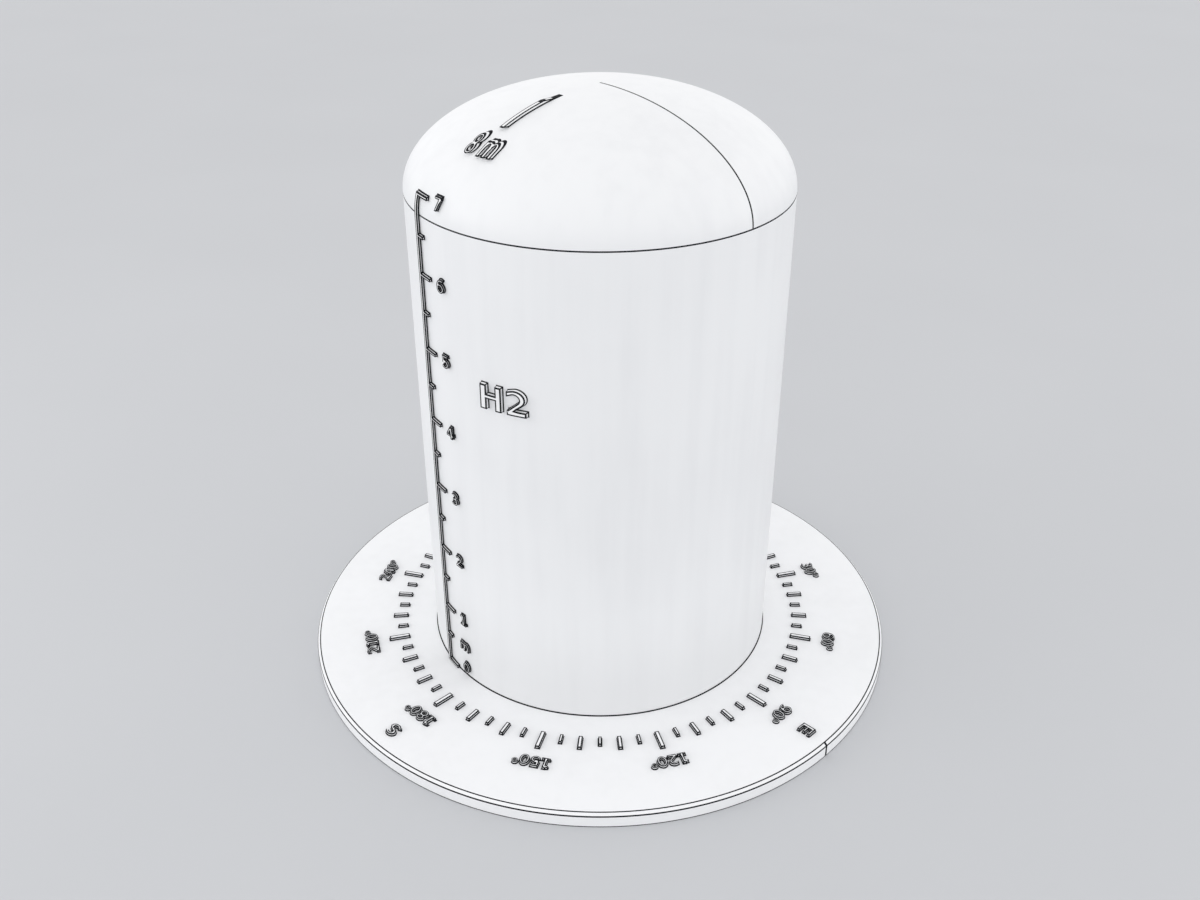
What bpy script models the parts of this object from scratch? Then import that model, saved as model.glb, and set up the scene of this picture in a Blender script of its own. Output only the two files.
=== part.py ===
"""Hydrogen storage tank: an upright cylinder with a domed top on a round plinth.

Metres, +Z up, the origin at the centre of the plinth's underside. +Y is the 0 degree mark of the
angle scale on the plinth and +X its 90 degree mark, so an angle runs clockwise seen from above.
Heights in the names below are counted from the plinth's top face, as the height scale counts them.
"""

import math

import bmesh
import bpy
from mathutils import Vector
from mathutils.geometry import delaunay_2d_cdt

# Plinth
PLINTH_RADIUS = 4.30
PLINTH_HEIGHT = 0.22
PLINTH_CHAMFER = 0.04

# Tank
TANK_RADIUS = 2.50
SHELL_HEIGHT = 6.75
DOME_HEIGHT = 1.25
WALL = 0.018
FLOOR_THICKNESS = 0.020
SEGMENTS = 96
DOME_RINGS = 8
GAP = 0.0003

# Raised marks
RELIEF = 0.042
LABEL_CAP = 0.172
FIGURE_CAP = 0.171
LETTER_CAP = 0.332
LETTER_RELIEF = 0.058
STROKE = 0.215
ARC_STEPS = 5

# Angle scale on the plinth, with (width, length) of the bars for every 5, 10 and 30 degrees
ANGLE_STEP = 5
ANGLE_INNER_RADIUS = 2.953
FINE_BAR = (0.036, 0.137)
TEN_BAR = (0.046, 0.207)
THIRTY_BAR = (0.053, 0.287)
LABEL_RADIUS = 3.505
POINT_CAP = 0.198
POINT_RADIUS = 3.957
COMPASS_LETTERS = (
    ("letter_north", "N", 0.0),
    ("letter_east", "E", 90.0),
    ("letter_south", "S", 180.0),
    ("letter_west", "W", 270.0),
)

# Height scale on the shell, drawn on an upright plane that faces this angle. Sideways places are
# counted to the right of the tank's axis for a viewer who looks at that plane.
SCALE_FACING = 165.0
SCALE_LEFT = -1.287
RAIL_WIDTH = 0.052
BAR_HEIGHT = 0.04
LONG_BAR = 0.257
SHORT_BAR = 0.157
TOP_MARK = 7
FIGURE_CENTRE = -0.818
FIRST_FIGURE_LIFT = 0.155
TOP_FIGURE_CAP = 0.158
UNIT_LEVEL = 0.46
UNIT_CENTRE = -0.83

# Mark for the tank's top on the dome
DOME_FACING = 180.0
DOME_FIGURE_LEFT = -0.231
DOME_UNIT_LEFT = 0.006
DOME_BASELINE = 7.515
DOME_BAR_SIDES = (-0.052, 0.010)
DOME_BAR_LEVELS = (7.75, 7.95)
DOME_UNIT_STRETCH = 1.15
DOME_UNIT_CAP = 0.182

# Contents letters on the shell
CONTENTS_LEVEL = 4.600
CONTENTS_FACING = 162.0
CONTENTS_H_LEFT = -0.342
CONTENTS_2_LEFT = 0.016
CONTENTS_2_STRETCH = 1.12

MATERIALS = {
    "concrete": ((0.90, 0.90, 0.91, 1.0), 0.0, 0.70),
    "steel": ((0.88, 0.89, 0.90, 1.0), 0.0, 0.45),
    "mark": ((0.95, 0.95, 0.95, 1.0), 0.0, 0.50),
}


def clear_scene():
    """Removes every object of the startup scene."""
    for found in list(bpy.data.objects):
        bpy.data.objects.remove(found, do_unlink=True)


def heading(angle):
    """The level direction at a compass angle in degrees."""
    turn = math.radians(angle)
    return Vector((math.sin(turn), math.cos(turn), 0.0))


def rightward(angle):
    """The level direction to the right for a viewer who looks at the tank from that angle."""
    turn = math.radians(angle)
    return Vector((-math.cos(turn), math.sin(turn), 0.0))


def new_material(name, kind):
    """A plain material of its own for one node."""
    colour, metallic, roughness = MATERIALS[kind]
    made = bpy.data.materials.new(name + "_finish")
    made.use_nodes = True
    shader = made.node_tree.nodes["Principled BSDF"]
    shader.inputs["Base Color"].default_value = colour
    shader.inputs["Metallic"].default_value = metallic
    shader.inputs["Roughness"].default_value = roughness
    return made


def new_object(name, points, faces):
    """A mesh object from points and faces, with its normals turned outwards."""
    mesh = bpy.data.meshes.new(name)
    mesh.from_pydata([tuple(p) for p in points], [], faces)
    work = bmesh.new()
    work.from_mesh(mesh)
    bmesh.ops.recalc_face_normals(work, faces=work.faces)
    work.to_mesh(mesh)
    work.free()
    made = bpy.data.objects.new(name, mesh)
    bpy.context.scene.collection.objects.link(made)
    return made


def finish(made, kind, smooth_angle=None):
    """Gives a node its material, and smooth shading where it is round."""
    made.data.materials.append(new_material(made.name, kind))
    if smooth_angle is not None:
        for face in made.data.polygons:
            face.use_smooth = True
        made.data.set_sharp_from_angle(angle=math.radians(smooth_angle))


def revolve(name, profile, segments=SEGMENTS):
    """A body from a closed profile of (radius, height), counted round the section."""
    points = []
    rings = []
    for radius, height in profile:
        if radius < 1e-9:
            rings.append([len(points)] * segments)
            points.append((0.0, 0.0, height))
            continue
        ring = []
        for step in range(segments):
            turn = 2.0 * math.pi * step / segments
            ring.append(len(points))
            points.append((radius * math.sin(turn), radius * math.cos(turn), height))
        rings.append(ring)
    faces = []
    for index, ring in enumerate(rings):
        after = rings[(index + 1) % len(rings)]
        for step in range(segments):
            turned = (step + 1) % segments
            corners = [ring[step], ring[turned], after[turned], after[step]]
            face = [c for place, c in enumerate(corners) if c not in corners[:place]]
            if len(face) > 2:
                faces.append(face)
    return new_object(name, points, faces)


def dome_curve(offset, rings=DOME_RINGS):
    """(radius, height) from the dome's foot to its apex, moved out by the offset."""
    across = TANK_RADIUS + offset
    up = DOME_HEIGHT + offset
    curve = []
    for step in range(rings + 1):
        turn = 0.5 * math.pi * step / rings
        radius = across * math.cos(turn) if step < rings else 0.0
        curve.append((radius, PLINTH_HEIGHT + SHELL_HEIGHT + up * math.sin(turn)))
    return curve


# Lettering. Each glyph is a list of flat polygons in units of its cap height, that may overlap.


def bar(x0, y0, x1, y1):
    """An upright rectangle."""
    return [(x0, y0), (x1, y0), (x1, y1), (x0, y1)]


def arc(centre, size, start, end, width, steps=ARC_STEPS, thinning=0.75, shift=(0.0, 0.0)):
    """Quads of an elliptical band: outer half axes size, from start to end in degrees.

    Up and down it is thinner than the width by the thinning, and the shift moves its inner edge.
    """
    quads = []
    count = max(2, round(steps * abs(end - start) / 90.0))
    rim = []
    for step in range(count + 1):
        turn = math.radians(start + (end - start) * step / count)
        outer = (centre[0] + size[0] * math.cos(turn), centre[1] + size[1] * math.sin(turn))
        inner = (
            centre[0] + shift[0] + (size[0] - width) * math.cos(turn),
            centre[1] + shift[1] + (size[1] - thinning * width) * math.sin(turn),
        )
        rim.append((outer, inner))
    for before, after in zip(rim, rim[1:]):
        quads.append([before[0], after[0], after[1], before[1]])
    return quads


def glyph_0():
    return arc((0.42, 0.5), (0.39, 0.515), 0, 360, STROKE)


def glyph_1():
    return [
        bar(0.13, 0.0, 0.80, 0.15),
        bar(0.34, 0.0, 0.58, 1.0),
        [(0.12, 0.78), (0.43, 0.84), (0.43, 1.0), (0.12, 0.94)],
    ]


def glyph_2():
    bow = arc((0.37, 0.69), (0.367, 0.335), -46, 112, 0.182, thinning=0.852, shift=(-0.025, -0.015))
    low, high = bow[0], bow[-1]
    neck = [(0.07, 0.165), (0.07, 0.10), (0.3367, 0.20), low[0], low[3]]
    end = [(0.06, 0.745), high[2], high[1], (0.06, 0.945)]
    return [bar(0.07, 0.0, 0.77, 0.20), neck, end] + bow


def glyph_3():
    low = arc((0.39, 0.29), (0.40, 0.305), -148, 85, STROKE)
    high = arc((0.39, 0.745), (0.36, 0.27), -80, 146, STROKE)
    return low + high + [bar(0.24, 0.45, 0.42, 0.61)]


def glyph_4():
    slope = [(0.03, 0.30), (0.22, 0.36), (0.50, 0.80), (0.50, 1.0), (0.40, 1.0), (0.03, 0.40)]
    return [bar(0.46, 0.0, 0.69, 1.0), bar(0.03, 0.21, 0.83, 0.38), slope]


def glyph_5():
    corner = [(0.09, 0.45), (0.28, 0.47), (0.40, 0.47), (0.40, 0.64), (0.20, 0.62), (0.09, 0.58)]
    top = [bar(0.09, 0.83, 0.71, 1.0), bar(0.09, 0.45, 0.28, 0.95)]
    return top + [corner] + arc((0.39, 0.32), (0.39, 0.335), -150, 95, STROKE)


def glyph_6():
    bowl = arc((0.43, 0.33), (0.38, 0.345), 0, 360, STROKE)
    return bowl + arc((0.51, 0.50), (0.47, 0.515), 62, 200, STROKE)


def glyph_7():
    return [
        bar(0.04, 0.83, 0.79, 1.0),
        [(0.16, 0.0), (0.42, 0.0), (0.79, 0.86), (0.79, 0.95), (0.53, 0.86)],
    ]


def glyph_8():
    low = arc((0.42, 0.28), (0.39, 0.295), 0, 360, STROKE)
    return low + arc((0.42, 0.755), (0.35, 0.26), 0, 360, 0.9 * STROKE)


def glyph_9():
    return [[(0.84 - x, 1.0 - y) for x, y in polygon] for polygon in glyph_6()]


def glyph_degree():
    return arc((0.28, 0.77), (0.235, 0.235), 0, 360, 0.12, steps=3)


def glyph_m():
    humps = []
    for centre in (0.355, 0.785):
        humps += arc((centre, 0.43), (0.325, 0.33), 0, 180, STROKE)
    stems = [bar(right - STROKE, 0.0, right, 0.45) for right in (0.68, 1.11)]
    return humps + stems + [bar(0.03, 0.0, 0.03 + STROKE, 0.74)]


def glyph_h():
    return [bar(0.0, 0.0, 0.275, 1.0), bar(0.665, 0.0, 0.92, 1.0), bar(0.20, 0.44, 0.70, 0.62)]


def glyph_n():
    slant = [(0.0, 1.0), (0.0, 0.86), (0.62, 0.0), (0.90, 0.0), (0.90, 0.14), (0.28, 1.0)]
    return [bar(0.0, 0.0, 0.24, 1.0), bar(0.66, 0.0, 0.90, 1.0), slant]


def glyph_e():
    arms = [(0.0, 0.77), (0.405, 0.73), (0.81, 0.77)]
    return [bar(0.1, low, right, low + 0.19) for low, right in arms] + [bar(0.0, 0.0, 0.26, 1.0)]


def glyph_s():
    low = arc((0.41, 0.285), (0.42, 0.30), -155, 90, 0.25)
    high = arc((0.43, 0.715), (0.41, 0.30), 25, 270, 0.25)
    return low + high


def glyph_w():
    outer = [(0.28, 0.0), (0.52, 0.0), (0.27, 1.0), (0.0, 1.0)]
    inner = [(0.31, 0.0), (0.55, 0.0), (0.82, 1.0), (0.60, 1.0)]
    left = [outer, inner]
    return left + [[(1.42 - x, y) for x, y in reversed(stroke)] for stroke in left]


GLYPHS = {
    "0": (glyph_0, 0.84),
    "1": (glyph_1, 0.84),
    "2": (glyph_2, 0.84),
    "3": (glyph_3, 0.84),
    "4": (glyph_4, 0.84),
    "5": (glyph_5, 0.84),
    "6": (glyph_6, 0.84),
    "7": (glyph_7, 0.84),
    "8": (glyph_8, 0.84),
    "9": (glyph_9, 0.84),
    "o": (glyph_degree, 0.56),
    "m": (glyph_m, 1.20),
    "H": (glyph_h, 1.10),
    "N": (glyph_n, 1.10),
    "E": (glyph_e, 0.95),
    "S": (glyph_s, 0.95),
    "W": (glyph_w, 1.50),
}


def glyph(letter, cap, left=0.0, base=0.0, stretch=1.0):
    """The polygons of one letter in metres, its lower left corner at (left, base)."""
    draw = GLYPHS[letter][0]
    wide = cap * stretch
    return [[(left + wide * x, base + cap * y) for x, y in polygon] for polygon in draw()]


def width_of(polygons):
    """(least, greatest) of the first coordinate of some polygons."""
    across = [x for polygon in polygons for x, _ in polygon]
    return min(across), max(across)


def centred(text, cap):
    """The polygons of a short text, centred sideways on zero, its baseline at zero."""
    polygons = []
    pen = 0.0
    for letter in text:
        polygons += glyph(letter, cap, pen)
        pen += cap * GLYPHS[letter][1]
    low, high = width_of(polygons)
    shift = -0.5 * (low + high)
    return [[(x + shift, y) for x, y in polygon] for polygon in polygons]


def move(polygons, across, up):
    """The same polygons, moved sideways and up."""
    return [[(x + across, y + up) for x, y in polygon] for polygon in polygons]


def flat_union(polygons):
    """(points, triangles) of the flat shape that some overlapping polygons cover."""
    points = []
    faces = []
    for polygon in polygons:
        faces.append(list(range(len(points), len(points) + len(polygon))))
        points += [Vector(p) for p in polygon]
    found = delaunay_2d_cdt(points, [], faces, 1, 1e-5)
    covered = [list(face) for face, sources in zip(found[2], found[5]) if sources]
    return [tuple(p) for p in found[0]], covered


def border(triangles):
    """The edges that only one triangle has, in its own order."""
    edges = {}
    for triangle in triangles:
        for start, end in zip(triangle, triangle[1:] + triangle[:1]):
            edges[(start, end)] = True
    return [edge for edge in edges if (edge[1], edge[0]) not in edges]


def prism(name, polygons, place, near, far):
    """A body from a flat shape; place(x, y, depth) gives the point in the room."""
    flat, triangles = flat_union(polygons)
    used = sorted({index for triangle in triangles for index in triangle})
    order = {index: place_in for place_in, index in enumerate(used)}
    count = len(used)
    points = [place(*flat[index], near) for index in used]
    points += [place(*flat[index], far) for index in used]
    faces = [[order[i] for i in triangle] for triangle in triangles]
    faces += [[order[i] + count for i in reversed(triangle)] for triangle in triangles]
    for start, end in border(triangles):
        faces.append([order[end], order[start], order[start] + count, order[end] + count])
    return new_object(name, points, faces)


# Marks on the tank: a flat drawing is pushed level into the tank and cut to its curved face.


def skin(relief):
    """The layer that the raised marks fill, just off the shell and the dome."""
    foot = PLINTH_HEIGHT + GAP
    inner = [(TANK_RADIUS + GAP, foot)] + dome_curve(GAP)
    outer = [(TANK_RADIUS + relief, foot)] + dome_curve(relief)
    layer = revolve("skin_cutter", inner + outer[::-1])
    layer.hide_render = True
    layer.display_type = "WIRE"
    return layer


def apply_modifiers(made):
    """Replaces a node's mesh by its evaluated one."""
    bpy.context.view_layer.update()
    graph = bpy.context.evaluated_depsgraph_get()
    mesh = bpy.data.meshes.new_from_object(made.evaluated_get(graph))
    made.modifiers.clear()
    made.data = mesh


def on_tank(name, polygons, facing, layer):
    """A raised mark on the tank, from a drawing on an upright plane that faces an angle."""
    across = rightward(facing)
    out = heading(facing)

    def place(x, y, depth):
        level = across * x + out * depth
        return (level.x, level.y, PLINTH_HEIGHT + y)

    made = prism(name, polygons, place, 0.3, TANK_RADIUS + 0.5)
    cut = made.modifiers.new("to_face", "BOOLEAN")
    cut.operation = "INTERSECT"
    cut.solver = "EXACT"
    cut.object = layer
    apply_modifiers(made)
    finish(made, "mark")
    return made


def build_plinth():
    """The plinth disc with the bars and degree labels raised on its top."""
    marks = []

    def add(polygons, angle):
        out = heading(angle)
        along = Vector((out.y, -out.x, 0.0))
        for polygon in polygons:
            marks.append([tuple((along * x + out * y).xy) for x, y in polygon])

    for angle in range(0, 360, ANGLE_STEP):
        width, length = FINE_BAR
        if angle % 10 == 0:
            width, length = TEN_BAR
        if angle % 30 == 0:
            width, length = THIRTY_BAR
            label = centred(str(angle) + "o", LABEL_CAP)
            add(move(label, 0.0, LABEL_RADIUS - 0.5 * LABEL_CAP), angle)
        inner = ANGLE_INNER_RADIUS
        add([bar(-0.5 * width, inner, 0.5 * width, inner + length)], angle)
    rim = []
    for step in range(SEGMENTS):
        turn = 2.0 * math.pi * step / SEGMENTS
        radius = PLINTH_RADIUS - PLINTH_CHAMFER
        rim.append((radius * math.cos(turn), radius * math.sin(turn)))
    flat = [Vector(p) for p in rim]
    faces = [list(range(SEGMENTS))]
    for polygon in marks:
        faces.append(list(range(len(flat), len(flat) + len(polygon))))
        flat += [Vector(p) for p in polygon]
    found = delaunay_2d_cdt(flat, [], faces, 1, 1e-5)
    cells = [list(face) for face in found[2]]
    raised = [any(source > 0 for source in sources) for sources in found[5]]
    points = []
    index_of = {}

    def corner(index, height):
        key = (index, height)
        if key not in index_of:
            index_of[key] = len(points)
            points.append((*found[0][index], height))
        return index_of[key]

    top = PLINTH_HEIGHT
    high = PLINTH_HEIGHT + RELIEF
    body = []
    for cell, up in zip(cells, raised):
        body.append([corner(index, high if up else top) for index in cell])
    for start, end in border([cell for cell, up in zip(cells, raised) if up]):
        body.append([corner(end, high), corner(start, high), corner(start, top), corner(end, top)])
    edge = [start for start, _ in border(cells)]
    after = dict(border(cells))
    loop = [edge[0]]
    while len(loop) < len(edge):
        loop.append(after[loop[-1]])
    rings = [[corner(index, top) for index in loop]]
    scale = PLINTH_RADIUS / (PLINTH_RADIUS - PLINTH_CHAMFER)
    for height in (PLINTH_HEIGHT - PLINTH_CHAMFER, 0.0):
        ring = []
        for index in loop:
            ring.append(len(points))
            across, along = found[0][index]
            points.append((across * scale, along * scale, height))
        rings.append(ring)
    for upper, lower in zip(rings, rings[1:]):
        for step in range(len(loop)):
            turned = (step + 1) % len(loop)
            body.append([upper[turned], upper[step], lower[step], lower[turned]])
    body.append(rings[-1][::-1])
    made = new_object("base_plinth", points, body)
    work = bmesh.new()
    work.from_mesh(made.data)
    bmesh.ops.remove_doubles(work, verts=work.verts, dist=1e-6)
    work.to_mesh(made.data)
    work.free()
    finish(made, "concrete")


def build_compass_letters():
    """The four letters outside the 0, 90, 180 and 270 degree labels."""
    for name, letter, angle in COMPASS_LETTERS:
        drawing = move(centred(letter, POINT_CAP), 0.0, POINT_RADIUS - 0.5 * POINT_CAP)
        out = heading(angle)
        along = Vector((out.y, -out.x, 0.0))

        def place(x, y, height):
            level = along * x + out * y
            return (level.x, level.y, PLINTH_HEIGHT + height)

        finish(prism(name, drawing, place, GAP, RELIEF), "mark")


def build_tank():
    """The floor plate, the upright shell and the dome."""
    foot = PLINTH_HEIGHT + GAP
    inside = TANK_RADIUS - WALL
    joint = PLINTH_HEIGHT + SHELL_HEIGHT
    floor_radius = inside - 2.0 * GAP
    plate = [(floor_radius, foot), (floor_radius, foot + FLOOR_THICKNESS)]
    plate = [(0.0, foot)] + plate + [(0.0, foot + FLOOR_THICKNESS)]
    finish(revolve("tank_floor", plate), "steel", 30)
    wall = [(TANK_RADIUS, foot), (TANK_RADIUS, joint), (inside, joint), (inside, foot)]
    finish(revolve("tank_shell", wall), "steel", 30)
    outer = dome_curve(0.0)
    inner = dome_curve(-WALL)
    outer[0] = (TANK_RADIUS, joint + GAP)
    inner[0] = (inside, joint + GAP)
    finish(revolve("tank_dome", outer + inner[::-1]), "steel", 30)


def build_height_scale(layer):
    """The rail with its bars, the figures 0 to 7 and the unit."""
    right = SCALE_LEFT + RAIL_WIDTH
    drawing = [bar(SCALE_LEFT, 0.0, right, TOP_MARK + 0.5 * BAR_HEIGHT)]
    for half in range(2 * TOP_MARK + 1):
        length = LONG_BAR if half % 2 == 0 else SHORT_BAR
        low = max(0.0, 0.5 * half - 0.5 * BAR_HEIGHT)
        drawing.append(bar(SCALE_LEFT, low, SCALE_LEFT + length, low + BAR_HEIGHT))
    on_tank("height_scale", drawing, SCALE_FACING, layer)
    for metre in range(TOP_MARK + 1):
        level = metre if metre > 0 else FIRST_FIGURE_LIFT
        cap = TOP_FIGURE_CAP if metre == TOP_MARK else FIGURE_CAP
        drawing = move(centred(str(metre), cap), FIGURE_CENTRE, level - 0.5 * cap)
        on_tank("height_figure_" + str(metre), drawing, SCALE_FACING, layer)
    drawing = move(centred("m", FIGURE_CAP), UNIT_CENTRE, UNIT_LEVEL)
    on_tank("height_unit_m", drawing, SCALE_FACING, layer)


def build_dome_mark(layer):
    """The bar and the lettering that mark the tank's top on the dome."""
    drawing = glyph("8", FIGURE_CAP, DOME_FIGURE_LEFT, DOME_BASELINE)
    on_tank("dome_figure_8", drawing, DOME_FACING, layer)
    drawing = glyph("m", DOME_UNIT_CAP, DOME_UNIT_LEFT, DOME_BASELINE, DOME_UNIT_STRETCH)
    on_tank("dome_unit_m", drawing, DOME_FACING, layer)
    left, right = DOME_BAR_SIDES
    low, high = DOME_BAR_LEVELS
    on_tank("dome_mark_8m", [bar(left, low, right, high)], DOME_FACING, layer)


def build_contents(layer):
    """The two characters that name the contents."""
    drawing = glyph("H", LETTER_CAP, CONTENTS_H_LEFT, CONTENTS_LEVEL)
    on_tank("contents_letter_h", drawing, CONTENTS_FACING, layer)
    drawing = glyph("2", LETTER_CAP, CONTENTS_2_LEFT, CONTENTS_LEVEL, CONTENTS_2_STRETCH)
    on_tank("contents_figure_2", drawing, CONTENTS_FACING, layer)


def main():
    clear_scene()
    build_plinth()
    build_compass_letters()
    build_tank()
    layer = skin(RELIEF)
    build_height_scale(layer)
    build_dome_mark(layer)
    bpy.data.objects.remove(layer, do_unlink=True)
    layer = skin(LETTER_RELIEF)
    build_contents(layer)
    bpy.data.objects.remove(layer, do_unlink=True)


main()
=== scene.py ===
"""Looks of a hydrogen storage tank: an upright shell with a domed top on a round plinth, with raised scales.

Metres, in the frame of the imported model. The origin is the centre of the plinth's underside and +Z is up. +Y is
the 0 degree mark of the angle scale and +X its 90 degree mark, so angles run clockwise seen from above. Heights
on the tank are counted from the plinth's top face, as the height scale counts them.

The tank and the plinth are painted white, and a thin dark line is painted along every sharp edge, joint and foot.
"""

from __future__ import annotations

import logging
import math
from collections.abc import Iterable, Sequence
from dataclasses import dataclass
from enum import Enum, IntEnum
from typing import Protocol

import bmesh
import bpy
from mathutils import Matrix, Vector
from mathutils.geometry import delaunay_2d_cdt


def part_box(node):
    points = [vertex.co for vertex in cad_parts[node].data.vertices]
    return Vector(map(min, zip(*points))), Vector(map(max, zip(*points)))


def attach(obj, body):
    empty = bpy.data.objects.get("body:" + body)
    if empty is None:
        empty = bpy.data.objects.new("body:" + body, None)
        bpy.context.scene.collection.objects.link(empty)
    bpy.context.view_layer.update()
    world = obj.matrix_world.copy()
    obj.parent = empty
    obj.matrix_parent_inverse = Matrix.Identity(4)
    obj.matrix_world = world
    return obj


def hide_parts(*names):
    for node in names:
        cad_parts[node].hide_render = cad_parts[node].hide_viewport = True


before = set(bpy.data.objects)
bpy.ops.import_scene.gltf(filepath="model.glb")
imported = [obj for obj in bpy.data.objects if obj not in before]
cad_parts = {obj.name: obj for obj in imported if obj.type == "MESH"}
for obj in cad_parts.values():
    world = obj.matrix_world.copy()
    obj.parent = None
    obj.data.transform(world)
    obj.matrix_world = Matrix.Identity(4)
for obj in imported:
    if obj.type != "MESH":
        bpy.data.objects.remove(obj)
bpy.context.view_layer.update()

LOG = logging.getLogger("tank_scene")
BODY_NAME = "root"
SLIVER = 2e-6

Point = tuple[float, float]
Polygon = list[Point]
Colour = tuple[float, float, float, float]
Hue = Colour | bpy.types.NodeSocket


class Slot(Enum):
    """Which finish a piece takes."""

    PLINTH = "plinth"
    TANK = "tank"
    MARKS = "marks"


class Layer(IntEnum):
    """Which of a piece's two finishes a face has."""

    BODY = 0
    LINE = 1


# Finishes


class Value:
    """A number that a shader works out, which takes part in Python expressions."""

    def __init__(self, graph: Nodes, socket: bpy.types.NodeSocket) -> None:
        """Wraps an output socket."""
        self.graph = graph
        self.socket = socket

    def _math(self, operation: str, first: Value | float, second: Value | float) -> Value:
        """Adds a Math node and returns what it gives."""
        made = self.graph.node("ShaderNodeMath", {"operation": operation}, {0: first, 1: second})
        return Value(self.graph, made.outputs[0])

    def __add__(self, other: Value | float) -> Value:
        """self + other."""
        return self._math("ADD", self, other)

    def __radd__(self, other: float) -> Value:
        """other + self."""
        return self._math("ADD", other, self)

    def __sub__(self, other: Value | float) -> Value:
        """self - other."""
        return self._math("SUBTRACT", self, other)

    def __rsub__(self, other: float) -> Value:
        """other - self."""
        return self._math("SUBTRACT", other, self)

    def __mul__(self, other: Value | float) -> Value:
        """self * other."""
        return self._math("MULTIPLY", self, other)

    def __rmul__(self, other: float) -> Value:
        """other * self."""
        return self._math("MULTIPLY", other, self)


class Nodes:
    """A node tree that nodes are added to."""

    def __init__(self, tree: bpy.types.NodeTree) -> None:
        """Wraps a node tree."""
        self.tree = tree

    def node(
        self,
        kind: str,
        settings: dict[str, object] | None = None,
        inputs: dict[int | str, object] | None = None,
    ) -> bpy.types.Node:
        """Adds a node.

        Args:
            kind: The node's type.
            settings: Its own properties, set before its sockets.
            inputs: A value, a socket or a Value for each of its input sockets.

        Returns:
            The node.
        """
        made = self.tree.nodes.new(kind)
        for name, value in (settings or {}).items():
            setattr(made, name, value)
        self.feed(made, inputs or {})
        return made

    def feed(self, node: bpy.types.Node, inputs: dict[int | str, object]) -> None:
        """Sets or links input sockets of a node."""
        for key, value in inputs.items():
            if isinstance(value, Value):
                self.tree.links.new(value.socket, node.inputs[key])
            elif isinstance(value, bpy.types.NodeSocket):
                self.tree.links.new(value, node.inputs[key])
            else:
                node.inputs[key].default_value = value

    def window(self, value: Value, low: float, high: float) -> Value:
        """0 below low and 1 above high, with a smooth rise between them."""
        settings = {"interpolation_type": "SMOOTHSTEP"}
        made = self.node("ShaderNodeMapRange", settings, {"Value": value, "From Min": low, "From Max": high})
        return Value(self, made.outputs["Result"])

    def blend(self, share: Value, first: Hue, second: Hue) -> bpy.types.NodeSocket:
        """A colour between two, the second where the share is 1."""
        made = self.node("ShaderNodeMix", {"data_type": "RGBA"}, {0: share, 6: first, 7: second})
        return made.outputs[2]

    def height(self, place: bpy.types.NodeSocket) -> Value:
        """The upright part of a place or direction."""
        made = self.node("ShaderNodeSeparateXYZ", {}, {0: place})
        return Value(self, made.outputs["Z"])


class Graph(Nodes):
    """The node tree of one material, with a Principled shader at its end."""

    def __init__(self, name: str) -> None:
        """Starts a material of that name."""
        self.material = bpy.data.materials.new(name)
        self.material.use_nodes = True
        super().__init__(self.material.node_tree)
        self.shader = self.tree.nodes["Principled BSDF"]
        self.place = self.node("ShaderNodeTexCoord").outputs["Object"]

    def noise(self, scale: float, detail: float = 2.0, stretch: Vector | None = None) -> Value:
        """A noise over the piece.

        Args:
            scale: Its waves in a metre.
            detail: How many finer octaves it has.
            stretch: Factors of its scale along the axes.

        Returns:
            A number from 0 to 1, about 0.5 on average.
        """
        place = self.place
        if stretch is not None:
            scaled = self.node("ShaderNodeVectorMath", {"operation": "MULTIPLY"}, {0: place, 1: stretch})
            place = scaled.outputs[0]
        made = self.node("ShaderNodeTexNoise", {}, {"Vector": place, "Scale": scale, "Detail": detail})
        return Value(self, made.outputs["Fac"])

    def pits(self, scale: float) -> Value:
        """The distance from scattered points, about that many in a metre."""
        made = self.node("ShaderNodeTexVoronoi", {}, {"Vector": self.place, "Scale": scale})
        return Value(self, made.outputs["Distance"])

    def finish(
        self,
        colour: bpy.types.NodeSocket,
        roughness: Value,
        height: Value,
        depth: float,
        metallic: float = 0.0,
    ) -> bpy.types.Material:
        """Feeds the shader and returns the material.

        Args:
            colour: Its base colour.
            roughness: Its roughness.
            height: Its fine relief, from 0 to 1.
            depth: The relief's depth in metres.
            metallic: 1 on bare metal.

        Returns:
            The material.
        """
        bump = self.node("ShaderNodeBump", {}, {"Height": height, "Distance": depth, "Strength": 1.0})
        inputs = {"Base Color": colour, "Roughness": roughness, "Metallic": metallic}
        self.feed(self.shader, {**inputs, "Normal": bump.outputs["Normal"]})
        return self.material


@dataclass(frozen=True)
class SatinPaint:
    """White paint on plate, laid by roller, with faint streaks where rain runs down, and painted shade darkening
    it towards the foot.
    """

    name: str
    light: Colour = (0.885, 0.893, 0.906, 1.0)
    shade: Colour = (0.845, 0.853, 0.868, 1.0)
    # Painted shade: the darker colour mixed in towards the foot of the shell.
    dust: Colour = (0.690, 0.696, 0.706, 1.0)
    dust_share: float = 0.5
    dust_levels: Point = (0.2, 2.0)
    roughness: float = 0.46

    def make(self) -> bpy.types.Material:
        """Builds the material."""
        graph = Graph(self.name)
        broad = graph.noise(0.45, 3.0)
        streak = graph.noise(1.0, 4.0, Vector((5.0, 5.0, 0.3)))
        grain = graph.noise(70.0, 2.0)
        lap = graph.noise(9.0, 3.0)
        tone = 0.55 * broad + 0.45 * streak
        paint = graph.blend(graph.window(tone, 0.30, 0.62), self.shade, self.light)
        # Painted shade: the colour darkens towards the foot of the shell, standing in for the shade that falls
        # near the plinth.
        level = graph.height(graph.place) + 0.25 * (streak - 0.5)
        foot_shade_mask = self.dust_share * (1.0 - graph.window(level, *self.dust_levels))
        colour = graph.blend(foot_shade_mask, paint, self.dust)
        roughness = self.roughness + 0.10 * (broad - 0.5) + 0.05 * (grain - 0.5)
        return graph.finish(colour, roughness, 0.6 * grain + 0.4 * lap, 0.0004)


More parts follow.
